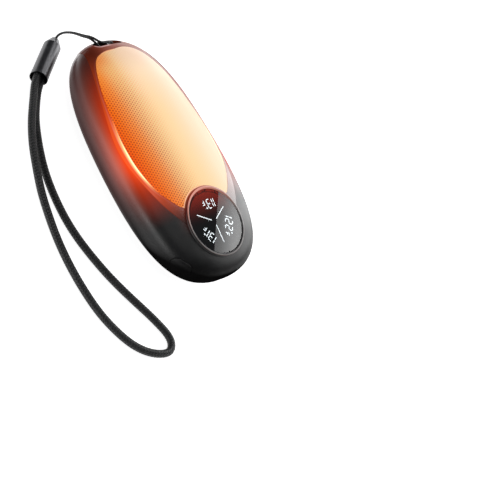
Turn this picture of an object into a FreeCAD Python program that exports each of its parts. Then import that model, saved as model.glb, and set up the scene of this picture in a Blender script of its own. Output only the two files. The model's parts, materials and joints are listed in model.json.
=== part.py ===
import FreeCAD, Part
import math
import os

# Rechargeable hand warmer, lying on its back: display end at +X, front face up,
# floor at z = 0, millimetres. The power button is on the -Y side.

V = FreeCAD.Vector

# Body: a pebble whose plan oval and side profile are conic arcs
length = 105.0
width = 55.5
thickness = 21.2
width_taper = 0.06
thickness_taper = 0.024
plan_fullness = 1.193
side_fullness = 1.53
rest_flat = 0.3
wall = 2.0
floor_thickness = 2.0
rear_height = 3.5
seam_gap = 0.12
mid_z = thickness / 2 - rest_flat
top_z = mid_z + thickness

# Lip of the rear cover, standing inside the casing
lip_height = 1.6
lip_thickness = 1.0
lip_clearance = 0.1

# Display: axis tilted towards the display end
display_from_end = 19.85
display_proud = 0.25
display_tilt = 7.04
display_x = length / 2 - display_from_end
glass_radius = 13.0
glass_thickness = 1.2
glass_recess = 0.3
glass_clearance = 0.12
glass_edge = 0.15
glass_notch = 0.6
lip_rise = 0.1
collar_radius = 14.3
collar_edge = 0.45
gasket_thickness = 0.3
gasket_inset = 0.1
seat_width = 1.25
mask_plate = 0.8
mask_skirt = 0.85
mask_height = 1.8
display_gap = 0.05
display_board_thickness = 1.0
display_board_margin = 0.5
led_size = 0.9
led_spread = 25
led_height = 0.5

# Display marks: three dividing lines and three temperatures
line_start = 1.5
line_end = 8.7
line_width = 0.38
digit_height = 3.5
digit_width = 1.65
digit_stroke = 0.43
digit_gap = 0.15
digit_space = 1.0
unit_height = 1.75
unit_width = 1.1
unit_stroke = 0.34
degree_radius = 0.36
label_radius = 7.0
label_start = -3.7
temperatures = ("113", "131", "122")
segment_names = {"1": "bc", "2": "abged", "3": "abgcd"}

# Front cover and window; outlines are shares of the way along and of the half width
cover_side_margin = 2.95
cover_outline = [(-0.09, 0.387), (0.045, 0.536), (0.174, 0.694), (0.393, 0.907), (0.581, 1.0),
                 (0.757, 0.911), (0.881, 0.762), (0.972, 0.577), (1.04, 0.42)]
cover_wrap = 12.0
cover_skirt = 3.5
collar_gap = 0.1
window_side_margin = 5.05
window_end_margin = 6.8
window_under_display = 3.66
window_outline = [(0.032, 0.48), (0.157, 0.744), (0.344, 0.907), (0.572, 1.0), (0.746, 0.934),
                  (0.869, 0.736), (0.953, 0.463)]
window_rim = 0.5
window_lobe_radius = 1.3
window_thickness = 1.2
window_gap = 0.08
window_ledge = 1.5
snap_width = 6.0
snap_reach = 1.2
snap_root = 3.5
snap_thickness = 1.1
snap_stations = (0.30, 0.52, 0.74)

# Layers under the window
glue = 0.05
guide_thickness = 0.8
film_thickness = 0.2
spreader_thickness = 0.8
insulation_thickness = 1.5
stack_margin = 0.15
strip_thickness = 1.0
strip_stations = (0.30, 0.72)
thermistor_size = (3.0, 1.6, 0.8)
thermistor_clearance = 0.3

# Lanyard slot in the far end of the front cover
slot_width = 13.8
slot_height = 3.8
slot_depth = 4.0
slot_slope = 50.0
slot_z = 5.2
slot_wall = 1.1
slot_chamfer = 0.5
bar_radius = 0.7
bar_y = 1.4
bar_depth = 1.5
bar_hold = 0.8
bar_clearance = 0.02

# Power button and its switch
button_from_end = 9.5
button_z = 2.2
button_length = 8.8
button_height = 5.2
button_proud = 0.2
button_clearance = 0.15
button_flange = 0.9
button_flange_thickness = 1.0
button_travel = 0.5
button_room = 1.0
stem_radius = 1.4
stem_length = 2.2
plunger_radius = 1.2
plunger_length = 1.0
plunger_gap = 0.05
switch_width = 6.0
switch_depth = 3.5

# Main board and what is on it
board_thickness = 1.2
board_inset = 3.0
board_reach = 10.2
board_screw_near = (5.0, 8.45)
board_screw_far = (5.3, 7.0)
boss_radius = 2.1
pilot_radius = 0.65
pilot_depth = 4.0
screw_radius = 0.6
screw_head_radius = 1.6
screw_head_height = 1.0
screw_slot = 0.45
screw_length = 3.4
screw_clearance = 0.15
display_screw_head = 1.0
display_screw_length = 1.2
ribbon_width = 6.0
ribbon_thickness = 0.3
socket_size = (2.4, 8.0, 1.6)
socket_from_edge = 3.0
chip_sizes = ((7.0, 7.0, 1.0), (5.0, 6.0, 1.4), (3.0, 5.0, 1.1))
chip_places = ((9.0, 6.5), (8.0, -8.5), (16.0, 9.0))
inductor_size = 6.6
inductor_height = 2.4
inductor_place = (17.5, -2.0)
capacitor_size = (3.2, 1.6, 1.6)
capacitor_places = ((12.5, 13.0), (12.5, 15.5), (4.0, 13.5), (4.0, -13.5))

# Charging socket
usb_width = 9.0
usb_height = 3.2
usb_length = 7.3
usb_wall = 0.3
usb_recess = 1.2
usb_clearance = 0.15
usb_tongue = (5.2, 6.7, 0.7)
usb_base = 1.6

# Battery
battery_far_room = 21.35
battery_width = 32.0
battery_height = 8.8
battery_edge = 1.5
battery_clearance = 0.3
pad_thickness = 1.9
cradle_wall = 1.2
cradle_height = 3.5
cradle_side = 24.0
cradle_end = 16.0
protection_size = (1.0, 24.0, 6.0)
lead_diameter = 1.2
lead_spread = 0.4

# Lanyard
tie_diameter = 0.9
cord_diameter = 2.9
ferrule_radius = 3.45
ferrule_flare = 3.55
ferrule_top_radius = 1.7
ferrule_length = 22.2
ferrule_shoulder = 4.0
ferrule_bore = 3.15
ferrule_bore_depth = 5.0
ferrule_tie_bore = 1.05
ferrule_tie_depth = 2.0
ferrule_tie_spread = 0.48
tie_exit_behind = 2.0
tie_exit_before = 0.9
tie_entry = 3.6
ferrule_cord_spread = 1.5
ferrule_cord_turn = 35.0
ferrule_exit = 2.5
ferrule_top = V(-60.33, -13.04, ferrule_flare)
ferrule_bearing = -49.04
wrap_room = 0.12
run_share = 0.45
tie_run_behind = [V(-61.7, -11.2, 5.6), V(-60.7, -10.4, 8.3), V(-58.4, -8.9, 10.8), V(-55.6, -7.9, 12.7),
                  V(-52.8, -6.6, 15.15)]
tie_run_before = [V(-52.85, -6.9, 16.15), V(-55.5, -8.5, 13.6), V(-58.3, -9.8, 11.5), V(-60.5, -11.6, 8.7),
                  V(-61.2, -12.3, 6.0)]
cord_run = [
    V(-37.3, -37.9, 4.4), V(-29.0, -43.5, 4.1), V(-20.4, -47.8, 3.7), V(-11.5, -50.8, 3.0),
    V(-2.8, -53.0, 1.8), V(6.2, -54.8, 1.5), V(15.8, -56.4, 1.5), V(25.4, -57.0, 1.5),
    V(34.9, -56.7, 1.5), V(44.5, -55.5, 1.5), V(52.4, -53.1, 1.5), V(59.8, -49.5, 1.5),
    V(64.9, -44.9, 1.5), V(68.1, -39.2, 1.5), V(68.7, -34.0, 1.5), V(64.0, -31.1, 1.5),
    V(54.4, -34.6, 1.5), V(45.9, -38.7, 1.5), V(36.2, -42.9, 1.5), V(27.0, -45.8, 1.5),
    V(17.4, -48.0, 1.5), V(8.3, -48.8, 1.5), V(-2.1, -48.2, 1.5), V(-11.4, -46.5, 1.5),
    V(-20.7, -43.4, 1.5), V(-30.2, -39.3, 1.5), V(-37.0, -35.0, 1.6)]


# Body shapes

def pebble_surface(inset):
    """Outer skin of the pebble, inset by a distance on every half axis."""
    half = V(length / 2 - inset, width / 2 - inset, thickness / 2 - inset)
    side = [(0, -1, 1.0), (1, -1, side_fullness), (1, 0, 1.0), (1, 1, side_fullness), (0, 1, 1.0)]
    plan = [(0, 1), (-1, 1), (-1, 0), (-1, -1), (0, -1), (1, -1), (1, 0), (1, 1), (0, 1)]
    poles = []
    weights = []
    for reach, rise, side_weight in side:
        row = []
        row_weights = []
        for corner, (along, across) in enumerate(plan):
            x = reach * along
            y = half.y * reach * across * (1 + width_taper * x)
            z = half.z * rise * (1 + thickness_taper * x)
            row.append(V(half.x * x, y, mid_z + z))
            row_weights.append(side_weight * (plan_fullness if corner % 2 else 1.0))
        poles.append(row)
        weights.append(row_weights)
    surface = Part.BSplineSurface()
    surface.buildFromPolesMultsKnots(poles, [3, 2, 3], [3, 2, 2, 2, 3], [0, 1, 2], [0, 1, 2, 3, 4],
                                     False, False, 2, 2, weights)
    return surface


def pebble(inset):
    return Part.Solid(Part.Shell([pebble_surface(inset).toShape()]))


def layer(outer_inset, inner_inset):
    """Sheet that follows the pebble between two depths."""
    return pebble(outer_inset).cut(pebble(inner_inset))


def slab(low, high, x_min=-length, x_max=length, y_min=-width, y_max=width):
    return Part.makeBox(x_max - x_min, y_max - y_min, high - low, V(x_min, y_min, low))


def extrude(wire, low, high):
    """Upright prism over a plan outline drawn at z = 0."""
    face = Part.Face(wire)
    face.translate(V(0, 0, low))
    return face.extrude(V(0, 0, high - low))


def surface_height(x, inset):
    """Height of the front skin on the centre line."""
    line = Part.makeLine(V(x, 0, mid_z), V(x, 0, top_z))
    return pebble(inset).common(line).BoundBox.ZMax


def stadium(long_side, short_side):
    """Wire of a rounded slot in the XY plane, long along X."""
    radius = short_side / 2
    reach = long_side / 2 - radius
    edges = [
        Part.LineSegment(V(-reach, -radius, 0), V(reach, -radius, 0)).toShape(),
        Part.Arc(V(reach, -radius, 0), V(reach + radius, 0, 0), V(reach, radius, 0)).toShape(),
        Part.LineSegment(V(reach, radius, 0), V(-reach, radius, 0)).toShape(),
        Part.Arc(V(-reach, radius, 0), V(-reach - radius, 0, 0), V(-reach, -radius, 0)).toShape()]
    return Part.Wire(edges)


def frame_placement(origin, x_axis, y_axis):
    """Placement whose local X and Y lie along two given directions."""
    z_axis = x_axis.cross(y_axis)
    matrix = FreeCAD.Matrix(x_axis.x, y_axis.x, z_axis.x, origin.x,
                            x_axis.y, y_axis.y, z_axis.y, origin.y,
                            x_axis.z, y_axis.z, z_axis.z, origin.z,
                            0, 0, 0, 1)
    return FreeCAD.Placement(matrix)


def placed(shape, placement):
    moved = shape.copy()
    moved.Placement = placement.multiply(moved.Placement)
    return moved


# Tubes along straight runs joined by tangent arcs

def route_wire(points, name):
    """Path through a route: each corner is an arc as large as its two runs allow."""
    edges = []
    radii = []
    last = points[0]
    for before, corner, after in zip(points, points[1:], points[2:]):
        run_in = corner.sub(before)
        run_out = after.sub(corner)
        reach = run_share * min(run_in.Length, run_out.Length)
        half_turn = run_in.getAngle(run_out) / 2
        radius = reach / math.tan(half_turn)
        way_in = V(run_in).normalize()
        way_out = V(run_out).normalize()
        start = corner.sub(way_in.multiply(reach))
        end = corner.add(way_out.multiply(reach))
        inward = end.add(start).multiply(0.5).sub(corner).normalize()
        middle = corner.add(inward.multiply(radius / math.cos(half_turn) - radius))
        edges.append(Part.LineSegment(last, start).toShape())
        edges.append(Part.Arc(start, middle, end).toShape())
        radii.append(radius)
        last = end
    edges.append(Part.LineSegment(last, points[-1]).toShape())
    print(name, "radii", [round(radius, 1) for radius in radii])
    return Part.Wire(edges)


def tube(points, diameter, name):
    path = route_wire(points, name)
    ring = Part.Wire([Part.Circle(points[0], points[1].sub(points[0]), diameter / 2).toShape()])
    solid = path.makePipeShell([ring], True, False)
    share = solid.Volume / (math.pi * diameter ** 2 / 4 * path.Length)
    print(name, "length", round(path.Length, 1), "volume share", round(share, 4))
    return solid


# Display frame: local Z out of the glass, local X up the display, towards its end

display_origin = V(display_x, 0, surface_height(display_x, 0) + display_proud)
tilt = math.radians(display_tilt)
display_place = frame_placement(display_origin, V(math.cos(tilt), 0, -math.sin(tilt)), V(0, 1, 0))

glass_top = -glass_recess
glass_bottom = glass_top - glass_thickness
seat_level = glass_bottom - gasket_thickness
bore_radius = glass_radius + glass_clearance
seat_radius = bore_radius - seat_width
mask_top = glass_bottom - display_gap
board_level = mask_top - mask_height
mask_radius = seat_radius - glass_clearance
display_board_radius = collar_radius - display_board_margin
display_screw_circle = (seat_radius + collar_radius) / 2
display_screw_angles = (60, 180, 300)


def disc(radius, top, bottom):
    return Part.makeCylinder(radius, top - bottom, V(0, 0, bottom))


def on_display(shape):
    return placed(shape, display_place)


def display_tunnel(radius):
    """Round tunnel along the display axis, right through the front."""
    return on_display(disc(radius, thickness, -thickness / 2))


# Plan outlines

half_cover = width / 2 - cover_side_margin
half_window = width / 2 - window_side_margin
window_far = -length / 2 + window_end_margin
window_near = display_x - window_under_display
wrap_x = -length / 2 + cover_wrap
collar_tunnel = collar_radius + collar_gap
window_bite = collar_tunnel + window_rim


def cover_half_points(grow):
    span = display_x + length / 2
    return [V(-length / 2 + along * span, across * half_cover + grow, 0) for along, across in cover_outline]


def spline_edge(points):
    curve = Part.BSplineCurve()
    curve.interpolate(points)
    return curve.toShape()


def cover_half_width(share):
    """Half width of the front cover at a share of the way to the display."""
    x = -length / 2 + share * (display_x + length / 2)
    line = Part.makeLine(V(x, 0, 0), V(x, width, 0))
    edge = spline_edge(cover_half_points(0))
    return x, edge.distToShape(line)[1][0][0].y


def cover_prism(grow):
    """Tongue-shaped zone of the front cover, down the far end to the rear cover."""
    left = cover_half_points(grow)
    right = [V(point.x, -point.y, 0) for point in reversed(left)]
    edges = [spline_edge(left), Part.makeLine(left[-1], right[0]),
             spline_edge(right), Part.makeLine(right[-1], left[0])]
    zone = extrude(Part.Wire(edges), rear_height, top_z)
    return zone.cut(slab(0, mid_z + cover_skirt, x_min=wrap_x))


def window_prism(grow):
    """Zone of the window, with its bite round the display collar."""
    centre = (window_far + window_near) / 2
    half_span = (window_near - window_far) / 2
    stretch = 1 + grow / half_span
    widen = 1 + grow / half_window
    half = []
    for along, across in window_outline:
        x = centre + (along * 2 - 1) * half_span * stretch
        half.append(V(x, across * half_window * widen, 0))
    mirrored = [V(point.x, -point.y, 0) for point in reversed(half)]
    start = V(centre - half_span * stretch, 0, 0)
    end = V(centre + half_span * stretch, 0, 0)
    curve = Part.BSplineCurve()
    curve.interpolate(Points=[start] + half + [end] + mirrored, PeriodicFlag=True)
    zone = extrude(Part.Wire([curve.toShape()]), mid_z, top_z)
    bite = Part.makeCylinder(window_bite - grow, thickness * 2, V(display_x, 0, mid_z - thickness / 2))
    zone = zone.cut(bite)
    corners = [edge for edge in zone.Edges if edge.BoundBox.ZLength > thickness / 2 and edge.BoundBox.XMin > 0]
    return zone.makeFillet(window_lobe_radius + max(grow, 0), corners)


# Lanyard slot frame: local X across the body, local Y up the slope, local Z outwards

slope = math.radians(slot_slope)
slot_level = mid_z + slot_z


def slot_mouth():
    """Point of the far end's skin at the middle of the slot."""
    line = Part.makeLine(V(0, 0, slot_level), V(-length, 0, slot_level))
    return V(pebble(0).common(line).BoundBox.XMin, 0, slot_level)


slot_up = V(math.sin(slope), 0, math.cos(slope))
slot_place = frame_placement(slot_mouth(), V(0, -1, 0), slot_up)


def slot_prism(grow, depth):
    """Rounded slot, from outside the far end down to a depth."""
    face = Part.Face(stadium(slot_width + 2 * grow, slot_height + 2 * grow))
    face.translate(V(0, 0, -depth))
    return placed(face.extrude(V(0, 0, depth + slot_width)), slot_place)


def slot_mouth_chamfer():
    wide = stadium(slot_width + 4 * slot_chamfer, slot_height + 4 * slot_chamfer)
    wide.translate(V(0, 0, slot_chamfer))
    narrow = stadium(slot_width, slot_height)
    narrow.translate(V(0, 0, -slot_chamfer))
    return placed(Part.makeLoft([narrow, wide], True, True), slot_place)


def bar_cylinder(radius):
    reach = slot_height / 2 + bar_hold
    rod = Part.makeCylinder(radius, 2 * reach, V(-bar_y, -reach, -bar_depth), V(0, 1, 0))
    return placed(rod, slot_place)


# Button frame: local X along the rim, local Y up, local Z outwards

button_x = length / 2 - button_from_end
button_level = mid_z + button_z


def button_frame():
    """Placement on the casing's skin, facing straight out of the rim."""
    line = Part.makeLine(V(button_x, 0, button_level), V(button_x, -width, button_level))
    point = V(button_x, pebble(0).common(line).BoundBox.YMin, button_level)
    skin = pebble_surface(0)
    normal = skin.normal(*skin.parameter(point))
    outward = V(normal.x, normal.y, 0).normalize()
    if outward.y > 0:
        outward = outward.multiply(-1)
    up = V(0, 0, 1)
    return frame_placement(point, up.cross(outward), up), outward


button_place, button_outward = button_frame()


def button_prism(grow, low, high):
    face = Part.Face(stadium(button_length + 2 * grow, button_height + 2 * grow))
    face.translate(V(0, 0, low))
    return placed(face.extrude(V(0, 0, high - low)), button_place)


flange_front = wall + button_clearance
flange_back = flange_front + button_flange_thickness
stem_back = flange_back + stem_length
plunger_front = stem_back + plunger_gap
switch_front = plunger_front + plunger_length

# Board levels and fastener places

board_top = mid_z + board_thickness / 2
board_bottom = board_top - board_thickness
board_start = display_x - board_reach
screw_side = width / 2 - board_screw_near[1]
board_screws = [(board_start + board_screw_near[0], side * screw_side) for side in (1, -1)]
board_screws += [(length / 2 - board_screw_far[0], side * board_screw_far[1]) for side in (1, -1)]
usb_mouth = length / 2 - usb_recess
usb_level = board_bottom - usb_height / 2
battery_end = board_start - battery_clearance * 2 - protection_size[0]
battery_start = -length / 2 + battery_far_room
battery_length = battery_end - battery_start
pad_top = floor_thickness + pad_thickness
battery_top = pad_top + battery_height


def cavity():
    """Inside of the shell, with a flat floor."""
    return pebble(wall).common(slab(floor_thickness, top_z))


def usb_prism(grow, start, end):
    face = Part.Face(stadium(usb_width + 2 * grow, usb_height + 2 * grow))
    place = frame_placement(V(start, 0, usb_level), V(0, 1, 0), V(0, 0, 1))
    return placed(face.extrude(V(0, 0, end - start)), place)


# Shell pieces

def casing():
    shell = pebble(0).cut(cavity()).common(slab(rear_height + seam_gap / 2, top_z))
    shell = shell.cut(cover_prism(seam_gap / 2))
    shell = shell.cut(display_tunnel(bore_radius))
    shell = shell.fuse(display_collar())
    for x, y in board_screws:
        boss = Part.makeCylinder(boss_radius, thickness, V(x, y, board_top))
        shell = shell.fuse(boss.common(pebble(wall / 2)).cut(display_tunnel(bore_radius)))
    for x, y in board_screws:
        shell = shell.cut(Part.makeCylinder(pilot_radius, pilot_depth, V(x, y, board_top)))
    for pilot in display_screw_holes(pilot_radius, display_screw_length + screw_clearance):
        shell = shell.cut(pilot)
    shell = shell.cut(button_prism(button_clearance, -wall * 3, wall * 2))
    return shell.cut(usb_prism(usb_clearance, usb_mouth - usb_length, length))


def display_collar():
    """Ring round the glass: rounded lip, bore, seat for the gasket and wall."""
    bottom = board_level
    edge = collar_edge
    shoulder = lip_rise - 2 * edge
    profile = [
        Part.makeLine(V(bore_radius, 0, seat_level), V(bore_radius, 0, lip_rise - edge / 2)),
        Part.Arc(V(bore_radius, 0, lip_rise - edge / 2), V(bore_radius + edge / 4, 0, lip_rise - edge / 8),
                 V(bore_radius + edge / 2, 0, lip_rise)).toShape(),
        Part.Arc(V(bore_radius + edge / 2, 0, lip_rise), V(collar_radius - edge / 2, 0, lip_rise - edge / 2),
                 V(collar_radius, 0, shoulder)).toShape(),
        Part.makeLine(V(collar_radius, 0, shoulder), V(collar_radius, 0, bottom)),
        Part.makeLine(V(collar_radius, 0, bottom), V(seat_radius, 0, bottom)),
        Part.makeLine(V(seat_radius, 0, bottom), V(seat_radius, 0, seat_level)),
        Part.makeLine(V(seat_radius, 0, seat_level), V(bore_radius, 0, seat_level))]
    return on_display(Part.Face(Part.Wire(profile)).revolve(V(0, 0, 0), V(0, 0, 1), 360))


def narrowed(wire, amount):
    """Plan outline drawn in by an amount on its four sides."""
    box = wire.BoundBox
    matrix = FreeCAD.Matrix()
    matrix.scale(1 - 2 * amount / box.XLength, 1 - 2 * amount / box.YLength, 1)
    return wire.transformGeometry(matrix)


def rear_cover():
    shell = pebble(0).cut(cavity()).common(slab(0, rear_height - seam_gap / 2))
    outline = pebble(wall + lip_clearance).slice(V(0, 0, 1), rear_height)[0]
    outline.translate(V(0, 0, -rear_height))
    ring = extrude(outline, floor_thickness / 2, rear_height + lip_height)
    ring = ring.cut(extrude(narrowed(outline, lip_thickness), 0, rear_height + lip_height))
    inner = battery_block(battery_clearance)
    outer = battery_block(battery_clearance + cradle_wall)
    low = floor_thickness / 2
    high = floor_thickness + cradle_height
    middle = (battery_start + battery_end) / 2
    frame = outer.cut(inner)
    sides = frame.common(slab(low, high, x_min=middle - cradle_side / 2, x_max=middle + cradle_side / 2))
    ends = frame.common(slab(low, high, y_min=-cradle_end / 2, y_max=cradle_end / 2))
    ribs = ring.cut(inner).fuse(sides).fuse(ends)
    rooted = ribs.common(pebble(wall / 2)).common(slab(0, rear_height - seam_gap))
    standing = ribs.common(pebble(wall + lip_clearance))
    return shell.fuse(rooted).fuse(standing)


def front_cover():
    shell = pebble(0).cut(pebble(wall)).common(cover_prism(-seam_gap / 2))
    shell = shell.common(slab(rear_height + seam_gap / 2, top_z))
    for share in snap_stations:
        for side in (1, -1):
            shell = shell.fuse(snap_tab(share, side))
    shell = shell.cut(display_tunnel(collar_tunnel))
    shell = shell.cut(window_prism(window_gap).cut(pebble(window_thickness + glue)))
    shell = shell.cut(window_prism(-window_ledge))
    cup = slot_prism(slot_wall, slot_depth + slot_wall).common(pebble(wall / 2))
    shell = shell.fuse(cup)
    shell = shell.cut(slot_prism(0, slot_depth)).cut(slot_mouth_chamfer())
    return shell.cut(bar_cylinder(bar_radius + bar_clearance))


def snap_tab(share, side):
    """Tab under the edge of the front cover that hooks behind the casing."""
    x, half = cover_half_width(share)
    below = wall + lip_clearance
    deep = layer(below, below + snap_thickness)
    root = layer(wall / 2, below + snap_thickness)
    edge = half - seam_gap
    reach = sorted((side * (edge - snap_root), side * (edge + snap_reach)))
    hold = sorted((side * (edge - snap_root), side * (edge - snap_root / 3)))
    near = x - snap_width / 2
    far = x + snap_width / 2
    hook = deep.common(slab(mid_z + cover_skirt, top_z, near, far, reach[0], reach[1]))
    heel = root.common(slab(mid_z + cover_skirt, top_z, near, far, hold[0], hold[1]))
    return hook.fuse(heel)


def lanyard_bar():
    return bar_cylinder(bar_radius)


# Window and the layers under it

guide_depth = window_thickness + glue
film_depth = guide_depth + guide_thickness + glue
spreader_depth = film_depth + film_thickness + glue
insulation_depth = spreader_depth + spreader_thickness + glue
stack_grow = -window_ledge - stack_margin
panel_grow = stack_grow - strip_thickness - stack_margin
thermistor_x = (window_far + display_x) / 2


def heat_window():
    return layer(0, window_thickness).common(window_prism(0))


def stack_layer(depth, layer_thickness):
    return layer(depth, depth + layer_thickness).common(window_prism(panel_grow))


def light_guide():
    return stack_layer(guide_depth, guide_thickness)


def heater_film():
    return stack_layer(film_depth, film_thickness)


def heat_spreader():
    return stack_layer(spreader_depth, spreader_thickness)


def thermistor_box(grow):
    size = V(*thermistor_size)
    top = surface_height(thermistor_x, insulation_depth)
    return slab(top - size.z - grow, top, thermistor_x - size.x / 2 - grow, thermistor_x + size.x / 2 + grow,
                -size.y / 2 - grow, size.y / 2 + grow)


def insulation_pad():
    pad = stack_layer(insulation_depth, insulation_thickness)
    box = thermistor_box(thermistor_clearance)
    box = box.fuse(slab(mid_z, top_z, box.BoundBox.XMin, box.BoundBox.XMax, box.BoundBox.YMin, box.BoundBox.YMax))
    return pad.cut(box)


def led_strip(side):
    """Flexible strip of lamps along one long edge of the light guide."""
    span = display_x + length / 2
    start = -length / 2 + strip_stations[0] * span
    end = -length / 2 + strip_stations[1] * span
    rim = window_prism(stack_grow).cut(window_prism(panel_grow + stack_margin))
    side_range = sorted((0, side * width))
    rim = rim.common(slab(mid_z, top_z, start, end, side_range[0], side_range[1]))
    return layer(guide_depth, film_depth).common(rim)


def heater_leads():
    """Two leads from under the insulation, down onto the main board."""
    leads = []
    start = display_x - window_bite + panel_grow - lead_diameter * 2
    top = surface_height(start, insulation_depth + insulation_thickness) - lead_diameter * 0.6
    end = board_start + lead_diameter * 2
    for side in (1, -1):
        y = side * (ribbon_width / 2 + lead_diameter * 1.5)
        points = [V(start - lead_diameter * 4, y, top), V(start, y, top - lead_diameter / 4),
                  V(end, y * 1.1, top - lead_diameter * 2), V(end, y * 1.1, board_top)]
        leads.append(tube(points, lead_diameter, "heater lead"))
    return Part.makeCompound(leads)


# Display module

def display_glass():
    disk = disc(glass_radius, glass_top, glass_bottom)
    rim = [edge for edge in disk.Edges if edge.BoundBox.ZMin > glass_top - glass_edge and edge.Closed]
    disk = disk.makeChamfer(glass_edge, rim)
    notch = Part.makeBox(glass_notch, glass_notch, glass_thickness / 2,
                         V(glass_radius - glass_notch * 0.8, -glass_notch / 2, glass_top - glass_thickness / 2))
    return on_display(disk.cut(notch))


def display_gasket():
    outer = disc(glass_radius - gasket_inset, glass_bottom, seat_level)
    return on_display(outer.cut(disc(seat_radius + gasket_inset, glass_bottom, seat_level)))


def bar_mark(x0, y0, x1, y1, stroke):
    """Rounded stroke between two points of the display, as deep as the mask plate."""
    start = V(x0, y0, mask_top)
    end = V(x1, y1, mask_top)
    along = end.sub(start)
    wire = stadium(along.Length, stroke)
    turn = math.degrees(math.atan2(along.y, along.x))
    wire.rotate(V(0, 0, 0), V(0, 0, 1), turn)
    wire.translate(start.add(end).multiply(0.5))
    return Part.Face(wire).extrude(V(0, 0, -mask_plate))


def digit_marks(digit, x):
    """Lit segments of one digit; x is its right side for a 1, its left side for others."""
    half = digit_height / 2
    side = digit_width if digit != "1" else 0
    ends = {
        "a": (x, half, x + side, half), "g": (x, 0, x + side, 0), "d": (x, -half, x + side, -half),
        "b": (x + side, 0, x + side, half), "c": (x + side, -half, x + side, 0),
        "f": (x, 0, x, half), "e": (x, -half, x, 0)}
    marks = []
    for name in segment_names[digit]:
        x0, y0, x1, y1 = ends[name]
        if name in "bcef":
            marks.append(bar_mark(x0, y0 + digit_gap, x1, y1 - digit_gap, digit_stroke))
        else:
            marks.append(bar_mark(x0 + digit_gap, y0, x1 - digit_gap, y1, digit_stroke))
    return marks


def unit_marks(x):
    """Degree dot and the letter F, as three strokes in one mark."""
    dot = disc(degree_radius, mask_top, mask_top - mask_plate)
    dot.translate(V(x, digit_height / 2 - degree_radius, 0))
    left = x + degree_radius + unit_stroke / 2
    low = -digit_height / 2
    top = low + unit_height
    stem = bar_mark(left, low, left, top, unit_stroke)
    arm = bar_mark(left - unit_stroke / 2, top, left + unit_width, top, unit_stroke)
    middle = bar_mark(left - unit_stroke / 2, low + unit_height * 0.48, left + unit_width * 0.8,
                      low + unit_height * 0.48, unit_stroke)
    return [dot, stem.fuse(arm).fuse(middle).removeSplitter()]


def display_marks():
    """All lit marks in the display frame: up the display is local X, its right is local -Y."""
    marks = []
    for turn in (0, 120, 240):
        line = bar_mark(line_start, 0, line_end, 0, line_width)
        line.rotate(V(0, 0, 0), V(0, 0, 1), turn)
        marks.append(line)
    for number, (text, turn) in enumerate(zip(temperatures, (0, -60, 60))):
        offset = -label_radius if number == 0 else label_radius
        x = label_start
        label = []
        for digit in text:
            label += digit_marks(digit, x)
            x += digit_space if digit == "1" else digit_width + digit_space
        label += unit_marks(x)
        for mark in label:
            mark.translate(V(0, offset, 0))
            mark.rotate(V(0, 0, 0), V(0, 0, 1), turn - 90)
            marks.append(mark)
    return Part.makeCompound(marks)


def display_mask(marks):
    plate = disc(mask_radius, mask_top, board_level)
    plate = plate.cut(disc(mask_radius - mask_skirt, mask_top - mask_plate, board_level))
    return on_display(plate.cut(marks))


def display_board():
    board = disc(display_board_radius, board_level, board_level - display_board_thickness)
    for angle in display_screw_angles:
        hole = disc(screw_radius + screw_clearance, board_level, board_level - display_board_thickness)
        hole.translate(polar(display_screw_circle, angle))
        board = board.cut(hole)
    return on_display(board)


def polar(radius, angle):
    return V(radius * math.cos(math.radians(angle)), radius * math.sin(math.radians(angle)), 0)


def display_screw_holes(radius, depth):
    holes = []
    for angle in display_screw_angles:
        hole = disc(radius, board_level + depth, board_level)
        hole.translate(polar(display_screw_circle, angle))
        holes.append(on_display(hole))
    return holes


def screw(head_radius, head_height, shank_length):
    """Pan-head screw standing on its head: the head is below z = 0, the shank above."""
    head = Part.makeCylinder(head_radius, head_height, V(0, 0, -head_height))
    shank = Part.makeCylinder(screw_radius, shank_length)
    depth = head_height / 2
    cross = Part.makeBox(head_radius * 1.4, screw_slot, depth, V(-head_radius * 0.7, -screw_slot / 2, -head_height))
    other = cross.copy()
    other.rotate(V(0, 0, 0), V(0, 0, 1), 90)
    return head.fuse(shank).cut(cross).cut(other)


def display_screws():
    screws = []
    for angle in display_screw_angles:
        one = screw(display_screw_head, screw_head_height / 2, display_board_thickness + display_screw_length)
        one.translate(polar(display_screw_circle, angle).add(V(0, 0, board_level - display_board_thickness)))
        screws.append(on_display(one))
    return Part.makeCompound(screws)


def display_leds():
    """Lamps on the display board, three under each temperature."""
    lamps = []
    for turn in (180, 60, -60):
        for shift in (-led_spread, 0, led_spread):
            lamp = Part.makeBox(led_size, led_size, led_height, V(-led_size / 2, -led_size / 2, board_level))
            lamp.translate(polar(label_radius, turn + shift))
            lamps.append(on_display(lamp))
    return Part.makeCompound(lamps)


# Boards, switch, socket and battery

def display_ribbon():
    """Flat cable from the back of the display board down to its socket."""
    local = V(-display_board_radius + socket_size[0] * 2, 0, board_level - display_board_thickness)
    top = display_place.multVec(local)
    x = board_start + socket_from_edge + socket_size[0] / 2
    bottom = board_top + socket_size[2]
    drop = (top.z - bottom) / 2
    below = display_place.multVec(V(local.x, 0, local.z - drop))
    path = route_wire([top, below, V(x, 0, bottom + drop), V(x, 0, bottom)], "display ribbon")
    half_width = ribbon_width / 2
    half_thickness = ribbon_thickness / 2
    corners = [V(-half_thickness, -half_width, 0), V(half_thickness, -half_width, 0),
               V(half_thickness, half_width, 0), V(-half_thickness, half_width, 0)]
    section = Part.makePolygon([display_place.multVec(local.add(corner)) for corner in corners + corners[:1]])
    return path.makePipeShell([section], True, False)


def ribbon_socket():
    x = board_start + socket_from_edge
    return slab(board_top, board_top + socket_size[2], x, x + socket_size[0], -socket_size[1] / 2, socket_size[1] / 2)


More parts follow.
